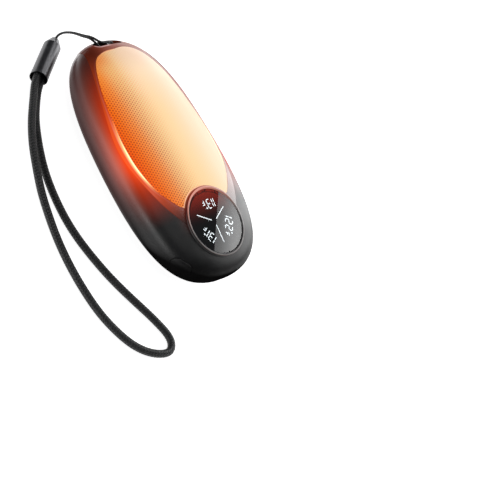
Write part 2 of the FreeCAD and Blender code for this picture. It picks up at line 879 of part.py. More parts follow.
def main_board():
    board = pebble(board_inset).common(slab(board_bottom, board_top, x_min=board_start))
    for x, y in board_screws:
        board = board.cut(Part.makeCylinder(screw_radius + screw_clearance, thickness, V(x, y, 0)))
    notch_depth = flange_back + button_travel + button_room
    notch_width = button_length + 2 * button_flange + 4 * button_clearance
    notch = Part.makeBox(notch_width, thickness * 2, notch_depth + wall, V(-notch_width / 2, -thickness, -notch_depth))
    return board.cut(placed(notch, button_place))


def board_screw_set():
    screws = []
    for x, y in board_screws:
        one = screw(screw_head_radius, screw_head_height, board_thickness + screw_length)
        one.translate(V(x, y, board_bottom))
        screws.append(one)
    return Part.makeCompound(screws)


def on_board(size, place):
    x = board_start + place[0]
    return slab(board_top, board_top + size[2], x - size[0] / 2, x + size[0] / 2,
                place[1] - size[1] / 2, place[1] + size[1] / 2)


def board_chips():
    return Part.makeCompound([on_board(size, place) for size, place in zip(chip_sizes, chip_places)])


def board_capacitors():
    return Part.makeCompound([on_board(capacitor_size, place) for place in capacitor_places])


def power_inductor():
    block = on_board((inductor_size, inductor_size, inductor_height), inductor_place)
    upright = [edge for edge in block.Edges if edge.BoundBox.ZLength > inductor_height / 2]
    return block.makeChamfer(inductor_size / 6, upright)


def usb_shell():
    start = usb_mouth - usb_length
    return usb_prism(0, start, usb_mouth).cut(usb_prism(-usb_wall, start + usb_wall, usb_mouth))


def usb_tongue_block():
    start = usb_mouth - usb_length + usb_wall
    base = usb_prism(-usb_wall, start, start + usb_base)
    reach = usb_tongue[0]
    blade = slab(usb_level - usb_tongue[2] / 2, usb_level + usb_tongue[2] / 2, start, start + reach,
                 -usb_tongue[1] / 2, usb_tongue[1] / 2)
    return base.fuse(blade)


def power_button():
    blank = layer(-button_proud, flange_back).common(button_prism(button_flange, -wall * 3, wall * 2))
    ring = button_prism(button_flange + wall, -wall * 3, wall * 2).cut(button_prism(0, -wall * 3, wall * 2))
    cap = blank.cut(ring.cut(pebble(flange_front)))
    stem = Part.makeCylinder(stem_radius, stem_length + button_flange_thickness / 2,
                             V(0, 0, -stem_back))
    return cap.fuse(placed(stem, button_place))


def switch_plunger():
    rod = Part.makeCylinder(plunger_radius, plunger_length + switch_depth / 3,
                            V(0, 0, -switch_front - switch_depth / 3))
    return placed(rod, button_place)


def switch_body():
    low = board_top - button_level
    high = plunger_radius + (plunger_radius - low) / 4
    block = Part.makeBox(switch_width, high - low, switch_depth, V(-switch_width / 2, low, -switch_front - switch_depth))
    depth = switch_depth / 3 + button_travel + plunger_gap
    bore = Part.makeCylinder(plunger_radius + plunger_gap, depth, V(0, 0, -switch_front - depth))
    return placed(block.cut(bore), button_place)


def battery_block(grow):
    return slab(0, battery_top, battery_start - grow, battery_end + grow,
                -battery_width / 2 - grow, battery_width / 2 + grow)


def battery_cell():
    block = slab(pad_top, battery_top, battery_start, battery_end, -battery_width / 2, battery_width / 2)
    long_edges = [edge for edge in block.Edges if edge.BoundBox.XLength > battery_length / 2]
    return block.makeFillet(battery_edge, long_edges)


def battery_pad():
    block = slab(floor_thickness, pad_top, battery_start, battery_end, -battery_width / 2 + battery_edge,
                 battery_width / 2 - battery_edge)
    return block.common(pebble(wall + glue))


def protection_board():
    size = V(*protection_size)
    low = battery_top - size.z
    return slab(low, low + size.z, battery_end, battery_end + size.x, -size.y / 2, size.y / 2)


def battery_leads():
    """Two leads from the protection board over the edge of the main board and down onto it."""
    leads = []
    start = battery_end + protection_size[0]
    end = board_start + lead_diameter * 2
    level = board_top + lead_diameter
    for side in (1, -1):
        y = side * protection_size[1] * lead_spread
        points = [V(start, y, level), V(end, y, level), V(end, y, board_top)]
        leads.append(tube(points, lead_diameter, "battery lead"))
    return Part.makeCompound(leads)


# Lanyard

def ferrule_frame():
    bearing = math.radians(ferrule_bearing)
    along = V(math.cos(bearing), math.sin(bearing), 0)
    return frame_placement(ferrule_top, along, V(-along.y, along.x, 0))


def tie_route():
    """From the ferrule behind the bar, round it, and back in front of it to the ferrule."""
    place = ferrule_frame()
    wrap = bar_radius + tie_diameter / 2 + wrap_room
    behind = -bar_depth - wrap
    before = -bar_depth + wrap
    turn = -bar_y - wrap
    ends = []
    for height, reach in ((-ferrule_tie_spread, tie_exit_behind), (ferrule_tie_spread, tie_exit_before)):
        ends.append([place.multVec(V(ferrule_tie_depth, 0, height)), place.multVec(V(-reach, 0, height))])
    slot_points = [V(tie_entry, 0, behind * 0.7), V(0, 0, behind), V(turn, 0, behind), V(turn, 0, before),
                   V(0, 0, before), V(tie_entry, 0, before + wrap / 4)]
    in_slot = [slot_place.multVec(point) for point in slot_points]
    return ends[0] + tie_run_behind + in_slot + tie_run_before + ends[1][::-1]


def cord_route():
    """From the ferrule's bore round the loop and back into the bore."""
    place = ferrule_frame()
    ends = []
    turn = math.radians(ferrule_cord_turn)
    for spread in (-ferrule_cord_spread, ferrule_cord_spread):
        side = spread * math.cos(turn)
        height = -spread * math.sin(turn)
        ends.append([place.multVec(V(ferrule_length - ferrule_bore_depth, side, height)),
                     place.multVec(V(ferrule_length + ferrule_exit, side, height))])
    return ends[0] + cord_run + ends[1][::-1]


def lanyard_ferrule():
    """Turned sleeve: narrow top with the tie's bore, shoulder, barrel and open mouth."""
    profile = [
        V(0, ferrule_tie_bore, 0), V(0, ferrule_top_radius, 0), V(ferrule_shoulder, ferrule_radius, 0),
        V(ferrule_length - ferrule_shoulder, ferrule_radius, 0), V(ferrule_length, ferrule_flare, 0),
        V(ferrule_length, ferrule_bore, 0), V(ferrule_length - ferrule_bore_depth, ferrule_bore, 0),
        V(ferrule_length - ferrule_bore_depth, 0, 0), V(ferrule_tie_depth, 0, 0),
        V(ferrule_tie_depth, ferrule_tie_bore, 0), V(0, ferrule_tie_bore, 0)]
    sleeve = Part.Face(Part.makePolygon(profile)).revolve(V(0, 0, 0), V(1, 0, 0), 360)
    return placed(sleeve, ferrule_frame())


def main():
    marks = display_marks()
    nodes = {
        "casing": casing(),
        "rear_cover": rear_cover(),
        "front_cover": front_cover(),
        "heat_window": heat_window(),
        "light_guide": light_guide(),
        "led_strip_left": led_strip(1),
        "led_strip_right": led_strip(-1),
        "heater_film": heater_film(),
        "heat_spreader": heat_spreader(),
        "insulation_pad": insulation_pad(),
        "thermistor": thermistor_box(0),
        "heater_leads": heater_leads(),
        "display_glass": display_glass(),
        "display_gasket": display_gasket(),
        "display_mask": display_mask(marks),
        "display_segments": on_display(marks),
        "display_board": display_board(),
        "display_leds": display_leds(),
        "display_screws": display_screws(),
        "display_ribbon": display_ribbon(),
        "ribbon_socket": ribbon_socket(),
        "main_board": main_board(),
        "board_screws": board_screw_set(),
        "board_chips": board_chips(),
        "board_capacitors": board_capacitors(),
        "power_inductor": power_inductor(),
        "usb_shell": usb_shell(),
        "usb_tongue": usb_tongue_block(),
        "switch_body": switch_body(),
        "switch_plunger": switch_plunger(),
        "power_button": power_button(),
        "battery_cell": battery_cell(),
        "battery_pad": battery_pad(),
        "protection_board": protection_board(),
        "battery_leads": battery_leads(),
        "lanyard_bar": lanyard_bar(),
        "lanyard_tie": tube(tie_route(), tie_diameter, "lanyard tie"),
        "lanyard_ferrule": lanyard_ferrule(),
        "lanyard_cord": tube(cord_route(), cord_diameter, "lanyard cord")}
    os.makedirs("parts", exist_ok=True)
    for name, shape in nodes.items():
        shape.exportStep(os.path.join("parts", name + ".step"))
        print(name, "solids", len(shape.Solids), "valid", shape.isValid(), "volume", round(shape.Volume, 2))
    print("button outward", [round(value, 5) for value in button_outward])
    print("display origin", [round(value, 3) for value in display_origin])


main()
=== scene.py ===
import json
import math

import bpy
from mathutils import Matrix, Vector


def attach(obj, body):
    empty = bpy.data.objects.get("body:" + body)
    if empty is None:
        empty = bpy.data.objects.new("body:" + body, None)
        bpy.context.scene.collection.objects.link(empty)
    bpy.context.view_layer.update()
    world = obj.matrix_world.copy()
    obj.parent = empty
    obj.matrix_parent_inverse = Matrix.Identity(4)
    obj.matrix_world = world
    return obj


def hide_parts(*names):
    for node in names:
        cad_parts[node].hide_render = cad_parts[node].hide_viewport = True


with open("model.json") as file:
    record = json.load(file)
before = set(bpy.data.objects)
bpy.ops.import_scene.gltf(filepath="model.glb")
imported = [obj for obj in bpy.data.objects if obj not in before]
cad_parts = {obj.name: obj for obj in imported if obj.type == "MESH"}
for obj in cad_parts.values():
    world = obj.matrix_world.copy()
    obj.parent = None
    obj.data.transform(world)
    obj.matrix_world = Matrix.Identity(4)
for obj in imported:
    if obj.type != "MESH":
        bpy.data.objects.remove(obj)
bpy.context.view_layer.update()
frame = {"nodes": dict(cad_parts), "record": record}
scene = bpy.context.scene
scene.view_settings.view_transform = "Standard"

MM = 0.001

# Sizes of the body that the shading follows, in millimetres
WINDOW_FAR = -45.7
WINDOW_NEAR = 28.99
HALF_WINDOW = 22.7
DISPLAY_X = 32.65
RING_RADIUS = 13.75
SLOT_X = -50.15
SLOT_Z = 15.5
SLOT_SLOPE = math.radians(50.0)
SLOT_STRAIGHT = 5.0
SLOT_HALF_HEIGHT = 1.9

# Outline of the window, in shares of its length and of its half width
WINDOW_OUTLINE = [(0.032, 0.48), (0.157, 0.744), (0.344, 0.907), (0.572, 1.0), (0.746, 0.934),
                  (0.869, 0.736), (0.953, 0.463)]

# Dots of the window: pitch in millimetres; gap of a layer's rows and soft edge of a dot in pitches
DOT_PITCH = 1.15
DOT_ROW_GAP = math.sqrt(3)
DOT_EDGE = (0.43, 0.25)

# Routes of the lanyard, in millimetres
CORD_DIAMETER = 2.9
CORD_ROUTE = [
    (-49.99, -26.83, 4.41), (-45.07, -32.49, 4.41), (-37.3, -37.9, 4.4), (-29.0, -43.5, 4.1),
    (-20.4, -47.8, 3.7), (-11.5, -50.8, 3.0), (-2.8, -53.0, 1.8), (6.2, -54.8, 1.5),
    (15.8, -56.4, 1.5), (25.4, -57.0, 1.5), (34.9, -56.7, 1.5), (44.5, -55.5, 1.5),
    (52.4, -53.1, 1.5), (59.8, -49.5, 1.5), (64.9, -44.9, 1.5), (68.1, -39.2, 1.5),
    (68.7, -34.0, 1.5), (64.0, -31.1, 1.5), (54.4, -34.6, 1.5), (45.9, -38.7, 1.5),
    (36.2, -42.9, 1.5), (27.0, -45.8, 1.5), (17.4, -48.0, 1.5), (8.3, -48.8, 1.5),
    (-2.1, -48.2, 1.5), (-11.4, -46.5, 1.5), (-20.7, -43.4, 1.5), (-30.2, -39.3, 1.5),
    (-37.0, -35.0, 1.6), (-43.21, -30.88, 2.69), (-48.13, -25.22, 2.69)]
TIE_DIAMETER = 0.9
TIE_ROUTE = [
    (-59.02, -14.55, 3.07), (-61.64, -11.53, 3.07), (-61.7, -11.2, 5.6), (-60.7, -10.4, 8.3),
    (-58.4, -8.9, 10.8), (-55.6, -7.9, 12.7), (-52.8, -6.6, 15.15), (-48.90, -3.6, 14.01),
    (-48.37, 0, 13.38), (-48.37, 2.67, 13.38), (-50.0, 2.67, 15.32), (-50.0, 0, 15.32),
    (-50.21, -3.6, 15.57), (-52.85, -6.9, 16.15), (-55.5, -8.5, 13.6), (-58.3, -9.8, 11.5),
    (-60.5, -11.6, 8.7), (-61.2, -12.3, 6.0), (-60.92, -12.36, 4.03), (-59.02, -14.55, 4.03)]
CURVE_STEPS = 10
BEVEL_STEPS = 4

# Braid of the wrist cord and twist of the thin cord, in millimetres
BRAID_STRANDS = 8
BRAID_PITCH = 9.4
BRAID_RADIUS = 1.36
BRAID_WAVE = 0.05
BRAID_STEP = 0.2
STRAND_CORNERS = 4
STRAND_HALF_WIDTH = 0.40
STRAND_HALF_HEIGHT = 0.09
TWIST_STRANDS = 3
TWIST_PITCH = 2.6
TWIST_RADIUS = 0.27
TWIST_STEP = 0.2
TWIST_HALF = 0.24

# Sleeve of the lanyard, in metres: its top, its axis, its bore and where painted shade makes its open mouth
# black
FERRULE_TOP = (-0.06033, -0.01304, 0.00355)
FERRULE_AXIS = (0.6555, -0.7552, 0.0)
FERRULE_BORE = 0.00315
MOUTH_SHADE_WALL = (FERRULE_BORE + 0.3 * MM, FERRULE_BORE + 0.2 * MM)
MOUTH_SHADE_BEGIN = (6.0 * MM, 8.0 * MM)

# Noise: its roughness, and the part of its range that a colour or a gloss follows
NOISE_ROUGHNESS = 0.55
NOISE_RANGE = (0.3, 0.7)

# Values that stay where a linked one isn't exported: gloss of the shell and the cover, metal of the sleeve
PLAIN_GLOSS = 0.3
PLAIN_METAL = 1.0


# Nodes of a material

def add(tree, kind, inputs=None, **settings):
    """Add a shader node; an input is a plain value or another node's socket."""
    made = tree.nodes.new(kind)
    for key, value in settings.items():
        setattr(made, key, value)
    for key, value in (inputs or {}).items():
        if isinstance(value, bpy.types.NodeSocket):
            tree.links.new(value, made.inputs[key])
        else:
            made.inputs[key].default_value = value
    return made


def calc(tree, operation, first, second=0.0, third=0.0):
    """Result of one math node."""
    made = add(tree, "ShaderNodeMath", {0: first, 1: second, 2: third}, operation=operation)
    return made.outputs[0]


def vector(tree, operation, output, inputs):
    """Result of one vector math node."""
    return add(tree, "ShaderNodeVectorMath", inputs, operation=operation).outputs[output]


def product(tree, first, *others):
    """Values multiplied with each other."""
    for other in others:
        first = calc(tree, "MULTIPLY", first, other)
    return first


def total(tree, first, *others):
    """Values added to each other."""
    for other in others:
        first = calc(tree, "ADD", first, other)
    return first


def rest_of(tree, share):
    """What a share leaves of the whole."""
    return calc(tree, "SUBTRACT", 1.0, share)


def distance(tree, first, second):
    """Length of the line whose two parts are given."""
    squares = total(tree, calc(tree, "POWER", first, 2.0), calc(tree, "POWER", second, 2.0))
    return calc(tree, "SQRT", squares)


def ramp(tree, factor, stops):
    """Colour ramp with (place, colour) stops."""
    made = add(tree, "ShaderNodeValToRGB", {"Fac": factor})
    elements = made.color_ramp.elements
    while len(elements) < len(stops):
        elements.new(0.5)
    for element, (place, colour) in zip(elements, stops):
        element.position = place
        element.color = (*colour, 1.0)
    return made.outputs["Color"]


def spread(tree, value, stretch, levels=(0.0, 1.0), smooth=True):
    """Go from one level to another over a stretch of a value, and hold at the ends."""
    made = add(tree, "ShaderNodeMapRange", {"Value": value, "From Min": stretch[0], "From Max": stretch[1],
                                            "To Min": levels[0], "To Max": levels[1]})
    made.interpolation_type = "SMOOTHSTEP" if smooth else "LINEAR"
    return made.outputs["Result"]


def blotches(tree, pattern, dark, light):
    """Colour that follows a noise."""
    return ramp(tree, pattern, list(zip(NOISE_RANGE, (dark, light))))


def uneven(tree, pattern, levels):
    """Number that follows a noise."""
    return spread(tree, pattern, NOISE_RANGE, levels)


def tint(tree, factor, first, second):
    """Mix two colours by a factor."""
    made = add(tree, "ShaderNodeMix", data_type="RGBA")
    for socket, value in ((made.inputs[0], factor), (made.inputs[6], first), (made.inputs[7], second)):
        if isinstance(value, bpy.types.NodeSocket):
            tree.links.new(value, socket)
        else:
            socket.default_value = (*value, 1.0)
    return made.outputs[2]


def noise(tree, place, scale, detail=3.0):
    """Cloudy pattern; the scale is per metre."""
    made = add(tree, "ShaderNodeTexNoise", {"Vector": place, "Scale": scale, "Detail": detail,
                                            "Roughness": NOISE_ROUGHNESS})
    return made.outputs["Fac"]


def bump(tree, height, strength, depth):
    """Relief that follows a pattern; the depth is in metres."""
    made = add(tree, "ShaderNodeBump", {"Height": height, "Strength": strength, "Distance": depth})
    return made.outputs["Normal"]


def start(name, **values):
    """New material with one principled shader; values go to its sockets."""
    made = bpy.data.materials.new(name)
    made.use_nodes = True
    tree = made.node_tree
    shader = tree.nodes["Principled BSDF"]
    for key, value in values.items():
        socket = shader.inputs[key.replace("_", " ")]
        socket.default_value = (*value, 1.0) if isinstance(value, tuple) else value
    place = add(tree, "ShaderNodeTexCoord").outputs["Object"]
    return made, tree, shader, place


def feed(tree, shader, **sockets):
    """Link results to the shader's sockets."""
    for key, value in sockets.items():
        tree.links.new(value, shader.inputs[key.replace("_", " ")])


# Fields and zones of the body, in millimetres

def body_fields(tree, place):
    """Place along the body, across it and above its flat."""
    grown = vector(tree, "SCALE", 0, {0: place, "Scale": 1 / MM})
    parts = add(tree, "ShaderNodeSeparateXYZ", {0: grown})
    return {"along": parts.outputs["X"], "across": parts.outputs["Y"], "height": parts.outputs["Z"]}


def display_distance(tree, fields):
    """Distance from the middle of the display, seen from above."""
    return distance(tree, calc(tree, "SUBTRACT", fields["along"], DISPLAY_X), fields["across"])


def window_depth(tree, fields):
    """Depth inside the window's long edge."""
    share = spread(tree, fields["along"], (WINDOW_FAR, WINDOW_NEAR), smooth=False)
    curve = add(tree, "ShaderNodeFloatCurve", {"Value": share})
    line = curve.mapping.curves[0]
    line.points[0].location = (0.0, 0.0)
    line.points[1].location = (1.0, 0.0)
    for where, height in WINDOW_OUTLINE:
        line.points.new(where, height)
    curve.mapping.update()
    half = product(tree, curve.outputs[0], HALF_WINDOW)
    return calc(tree, "SUBTRACT", half, calc(tree, "ABSOLUTE", fields["across"]))


def slot_fields(tree, fields):
    """Distance outside the lanyard slot's outline, and place up its slope."""
    up_x = product(tree, calc(tree, "SUBTRACT", fields["along"], SLOT_X), math.sin(SLOT_SLOPE))
    up_z = product(tree, calc(tree, "SUBTRACT", fields["height"], SLOT_Z), math.cos(SLOT_SLOPE))
    rise = total(tree, up_x, up_z)
    aside = calc(tree, "SUBTRACT", calc(tree, "ABSOLUTE", fields["across"]), SLOT_STRAIGHT)
    past = calc(tree, "MAXIMUM", aside, 0.0)
    return calc(tree, "SUBTRACT", distance(tree, past, rise), SLOT_HALF_HEIGHT), rise


def zones(tree, fields, table):
    """Soft-edged zones by name; a table gives each its field, its stretch and, if not 0 to 1, its levels."""
    return {name: spread(tree, fields[field], *values) for name, (field, *values) in table.items()}


def meet(tree, zone, *names):
    """Share of a surface where the named zones meet."""
    return product(tree, *(zone[name] for name in names))


# Plain plastics and metals

PLASTIC_SHADES = (0.8, 1.2)
METAL_SHADES = (0.85, 1.1)
DRAWN_SCALE = (0.06, 1.0, 1.0)


def shaded(colour, shades):
    """A darker and a lighter shade of a colour."""
    return [tuple(part * shade for part in colour) for shade in shades]


def moulded(name, colour, roughness, grain, relief, **values):
    """Moulded plastic: fine grain, slight unevenness of colour and gloss."""
    made, tree, shader, place = start(name, **values)
    cloud = noise(tree, place, scale=90.0)
    fine = noise(tree, place, grain, detail=2.0)
    feed(tree, shader, Base_Color=blotches(tree, cloud, *shaded(colour, PLASTIC_SHADES)),
         Roughness=uneven(tree, cloud, roughness), Normal=bump(tree, fine, relief, depth=0.0002))
    return made


def metal(name, colour, roughness, grain):
    """Metal with a drawn finish: streaks along the body and small stains."""
    made, tree, shader, place = start(name, Metallic=1.0)
    drawn = add(tree, "ShaderNodeMapping", {"Vector": place, "Scale": DRAWN_SCALE}).outputs[0]
    streak = noise(tree, drawn, grain, detail=4.0)
    feed(tree, shader, Base_Color=blotches(tree, streak, *shaded(colour, METAL_SHADES)),
         Roughness=uneven(tree, streak, roughness), Normal=bump(tree, streak, strength=0.08, depth=0.0001))
    return made


# Casing: its gloss, painted light on its ring at the display, and the window's light painted as glow in its
# sides

WARM_BEGIN = (-48.0, 2.0)
CASING_ZONES = {
    # The ring's rim and halo zones place painted light: a thin highlight line at the ring's outer edge and a
    # faint glow round the ring
    "ring": ("from_display", (RING_RADIUS + 0.2, RING_RADIUS)),
    "ring_rim_highlight": ("from_display", (RING_RADIUS - 0.45, RING_RADIUS - 0.15), (0.0, 0.1)),
    "ring_halo_glow": ("from_display", (19.0, 14.0), (0.0, 0.12)),
    "near_along": ("along", (DISPLAY_X + 4.0, DISPLAY_X - 13.0)),
    "near_across": ("across", (10.0, -10.0), (0.28, 0.5)),
    "gloss_drop": ("along", (28.0, 48.0), (0.0, 6.5)),
    "side_gloss": ("along", (32.0, 16.0), (0.0, 0.06)),
    "far_along": ("along", (-40.0, -50.0)),
    "far_height": ("height", (14.8, 12.5)),
    "lobe_across": ("across", (4.0, 12.0)),
    "lobe_height": ("height", (6.0, 13.0)),
    "lobe_begin": ("along", (8.0, 22.0)),
    "lobe_end": ("along", (42.0, 30.0)),
    "top_height": ("height", (12.5, 16.5)),
    "top_along": ("along", (22.0, 12.0), (0.0, 0.55)),
    "edge_across": ("across", (12.0, 17.0)),
    "edge_along": ("along", (8.0, -12.0), (0.0, 0.8)),
    "heel_across": ("across", (16.0, 21.0)),
    "heel_along": ("along", (33.0, 40.0), (0.0, 0.6)),
    "warm_begin": ("along", WARM_BEGIN),
    "warm_end": ("along", (28.5, -1.5)),
    "glow_far": ("along", (-18.0, 0.0), (0.78, 1.0)),
    "glow_near": ("along", (16.0, 2.0), (0.68, 1.0)),
    "faint_glow": ("along", (24.0, 2.0), (0.0, 0.035)),
}
GLOSS_RISE = (6.5, 12.5)
GLOSS_LEVELS = (0.0, 0.5)
LOBE_GLOSS = 0.7
GLOW_RISE = (6.0, 18.0)
GLOW_POWER = 2.5
GLOW_COLOURS = [(0.15, (1.0, 0.25, 0.22)), (0.55, (1.0, 0.2, 0.14)), (0.8, (1.0, 0.16, 0.085)),
                (0.95, (1.0, 0.065, 0.004))]
SHELL_DARK = (0.007, 0.0065, 0.0065)
SHELL_LIGHT = (0.011, 0.0105, 0.0105)
# The ring is the shell's own plastic; its lighter grey is a painted highlight, and its pale and red light
# are painted highlight and glow
RING_LIT_GREY = (0.06, 0.058, 0.058)
RING_HIGHLIGHT_PALE = (1.0, 0.9, 0.86)
RING_GLOW_RED = (1.0, 0.36, 0.26)
RING_REDDENING = (0.0, 0.3)


def casing_gloss(tree, height, zone, far):
    """Gloss of the casing: low underneath and at the display end, with a lobe beside the display."""
    level = calc(tree, "SUBTRACT", height, zone["gloss_drop"])
    gloss = calc(tree, "MAXIMUM", spread(tree, level, GLOSS_RISE, GLOSS_LEVELS), zone["side_gloss"])
    worn = product(tree, gloss, rest_of(tree, meet(tree, zone, "top_height", "top_along")))
    lobe = meet(tree, zone, "lobe_across", "lobe_height", "lobe_begin", "lobe_end")
    shine = total(tree, worn, product(tree, total(tree, far, lobe), LOBE_GLOSS))
    return product(tree, shine, rest_of(tree, meet(tree, zone, "edge_across", "edge_along")),
                   rest_of(tree, meet(tree, zone, "heel_across", "heel_along")))


def casing_light(tree, height, zone):
    """Colour and strength of the light painted into the casing: red glow in its sides, and on its ring a
    pale highlight line and a glow that turns red towards the window.
    """
    rise = spread(tree, height, GLOW_RISE, smooth=False)
    sides = product(tree, calc(tree, "POWER", rise, GLOW_POWER),
                    meet(tree, zone, "glow_far", "glow_near", "warm_begin", "warm_end"))
    near = meet(tree, zone, "near_along", "near_across")
    # Painted light on the ring near the window: a pale highlight turning to red glow, spreading a little
    # round the ring
    painted_lip_light = product(tree, near, calc(tree, "MAXIMUM", zone["ring"], zone["ring_halo_glow"]))
    rim_highlight = meet(tree, zone, "ring", "ring_rim_highlight")
    ring_painted_light = tint(tree, spread(tree, near, RING_REDDENING), RING_HIGHLIGHT_PALE, RING_GLOW_RED)
    colour = tint(tree, zone["ring"], ramp(tree, rise, GLOW_COLOURS), ring_painted_light)
    return colour, total(tree, sides, zone["faint_glow"], painted_lip_light, rim_highlight)


def casing_material(name):
    """Soft-touch dark shell with the window's light painted in its sides as red glow, and painted highlight
    on its ring.
    """
    made, tree, shader, place = start(name, Specular_IOR_Level=PLAIN_GLOSS)
    fields = body_fields(tree, place)
    fields["from_display"] = display_distance(tree, fields)
    zone = zones(tree, fields, CASING_ZONES)
    cloud = noise(tree, place, scale=120.0)
    fine = noise(tree, place, scale=5200.0, detail=2.0)
    far = meet(tree, zone, "far_along", "far_height")
    colour, strength = casing_light(tree, fields["height"], zone)
    feed(tree, shader,
         Base_Color=tint(tree, zone["ring"], blotches(tree, cloud, SHELL_DARK, SHELL_LIGHT), RING_LIT_GREY),
         Specular_IOR_Level=casing_gloss(tree, fields["height"], zone, far), Coat_Weight=far,
         Roughness=uneven(tree, cloud, (0.38, 0.46)), Normal=bump(tree, fine, strength=0.25, depth=0.00006),
         Emission_Color=colour, Emission_Strength=strength)
    return made


# Cover: the window's light painted as glow beside its edges, with painted reflections and a painted
# highlight at the slot and at the far end

LINE_BEGIN = (-20.0, 0.0)
LINE_END = (18.0, 5.0)
COVER_ZONES = {
    "far_gloss": ("along", (-46.0, -40.0), (0.12, 0.3)),
    "near_gloss": ("along", (8.0, 20.0), (0.0, 0.5)),
    "coat": ("along", (8.0, 20.0)),
    "warm_begin": ("along", WARM_BEGIN),
    "warm_end": ("along", (31.0, 1.0)),
    # Painted glow, stronger towards negative across
    "side": ("across", (5.0, -15.0), (0.12, 0.85)),
    "faint_near": ("along", (16.0, 32.0), (0.12, 0.0)),
    "faint_far": ("along", (-46.0, -34.0), (0.5, 1.0)),
    "line_depth": ("depth", (-1.1, -0.1)),
    "line_begin": ("along", LINE_BEGIN),
    "line_end": ("along", LINE_END),
    # The outline zones place a painted reflection: a thin pink line just outside the window's edge
    "outline_outer": ("depth", (-1.1, -0.7)),
    "outline_inner": ("depth", (-0.3, -0.7)),
    "web": ("depth", (0.2, 0.8)),
    # The lip zones place a painted highlight along the slot's lip, towards negative across
    "lip_inner": ("past_slot", (0.2, 0.5)),
    "lip_outer": ("past_slot", (1.1, 0.8)),
    "lip_rise": ("up_slot", (0.4, 1.2)),
    "lip_across": ("across", (1.0, -2.0)),
    "slot_edge": ("past_slot", (0.15, 0.4)),
    "slot_across": ("across", (0.0, 4.0), (0.0, 0.4)),
    "ring_edge": ("from_display", (RING_RADIUS + 0.15, RING_RADIUS + 0.5), (0.1, 1.0)),
    # The far zones place a painted reflection: a pale salmon band high on the cover towards the far end
    "far_height": ("height", (11.5, 16.5)),
    "far_along": ("along", (-22.0, -34.0)),
    "far_across": ("across", (-12.0, -1.0)),
}
COVER_DARK = (0.016, 0.006, 0.005)
COVER_LIGHT = (0.022, 0.008, 0.006)
COVER_RED = (1.0, 0.1, 0.012)
LINE_AMBER = (1.0, 0.66, 0.25)
OUTLINE_REFLECTION_PINK = (1.0, 0.45, 0.5)
FAR_REFLECTION_SALMON = (1.0, 0.4, 0.3)
WEB_ORANGE = (1.0, 0.46, 0.24)
LIP_HIGHLIGHT_PINK = (1.0, 0.62, 0.6)
OUTLINE_REFLECTION_TINT = 0.15
FAR_REFLECTION_TINT = 0.75
LINE_STRENGTH = 0.4
OUTLINE_REFLECTION_STRENGTH = 0.02
WEB_STRENGTH = 0.6
FAR_REFLECTION_STRENGTH = 0.2
LIP_HIGHLIGHT_STRENGTH = 0.3


def cover_light(tree, zone):
    """Colour and strength of the light painted into the cover: the window's red glow, stronger towards
    negative across, a pink reflection round the window, a pale reflection at the far end and a highlight on
    the slot's lip.
    """
    line = meet(tree, zone, "line_depth", "line_begin", "line_end")
    # Painted reflection: a thin pink line round the window
    outline = meet(tree, zone, "outline_outer", "outline_inner")
    # Painted reflection: a pale band beside the window at the far end
    far = meet(tree, zone, "far_height", "far_along", "far_across")
    # Painted highlight along the slot's lip
    painted_lip_light = meet(tree, zone, "lip_inner", "lip_outer", "lip_rise", "lip_across")
    colour = tint(tree, line, COVER_RED, LINE_AMBER)
    for share, second in ((product(tree, outline, OUTLINE_REFLECTION_TINT), OUTLINE_REFLECTION_PINK),
                          (product(tree, far, FAR_REFLECTION_TINT), FAR_REFLECTION_SALMON),
                          (zone["web"], WEB_ORANGE), (painted_lip_light, LIP_HIGHLIGHT_PINK)):
        colour = tint(tree, share, colour, second)
    light = total(tree, meet(tree, zone, "warm_begin", "warm_end", "side"),
                  meet(tree, zone, "faint_near", "faint_far"), product(tree, line, LINE_STRENGTH),
                  product(tree, outline, OUTLINE_REFLECTION_STRENGTH), product(tree, zone["web"], WEB_STRENGTH),
                  product(tree, far, FAR_REFLECTION_STRENGTH))
    open_slot = calc(tree, "MAXIMUM", zone["slot_edge"], zone["slot_across"])
    kept = product(tree, light, open_slot, zone["ring_edge"])
    return colour, total(tree, kept, product(tree, painted_lip_light, LIP_HIGHLIGHT_STRENGTH))


def cover_material():
    """Glossy near-black cover that lets the window's light through as dark red, bright beside its edges."""
    made, tree, shader, place = start("gloss_cover", Coat_Roughness=0.16, Specular_IOR_Level=PLAIN_GLOSS)
    fields = body_fields(tree, place)
    fields["depth"] = window_depth(tree, fields)
    fields["from_display"] = display_distance(tree, fields)
    fields["past_slot"], fields["up_slot"] = slot_fields(tree, fields)
    zone = zones(tree, fields, COVER_ZONES)
    cloud = noise(tree, place, scale=140.0)
    colour, strength = cover_light(tree, zone)
    feed(tree, shader, Base_Color=blotches(tree, cloud, COVER_DARK, COVER_LIGHT),
         Roughness=uneven(tree, cloud, (0.18, 0.24)), Coat_Weight=zone["coat"],
         Specular_IOR_Level=total(tree, zone["far_gloss"], zone["near_gloss"]),
         Emission_Color=colour, Emission_Strength=strength)
    return made


# Window: glow painted orange on the side of the button and cream on the other, the cream standing in for a
# reflection, with dots that fade out between

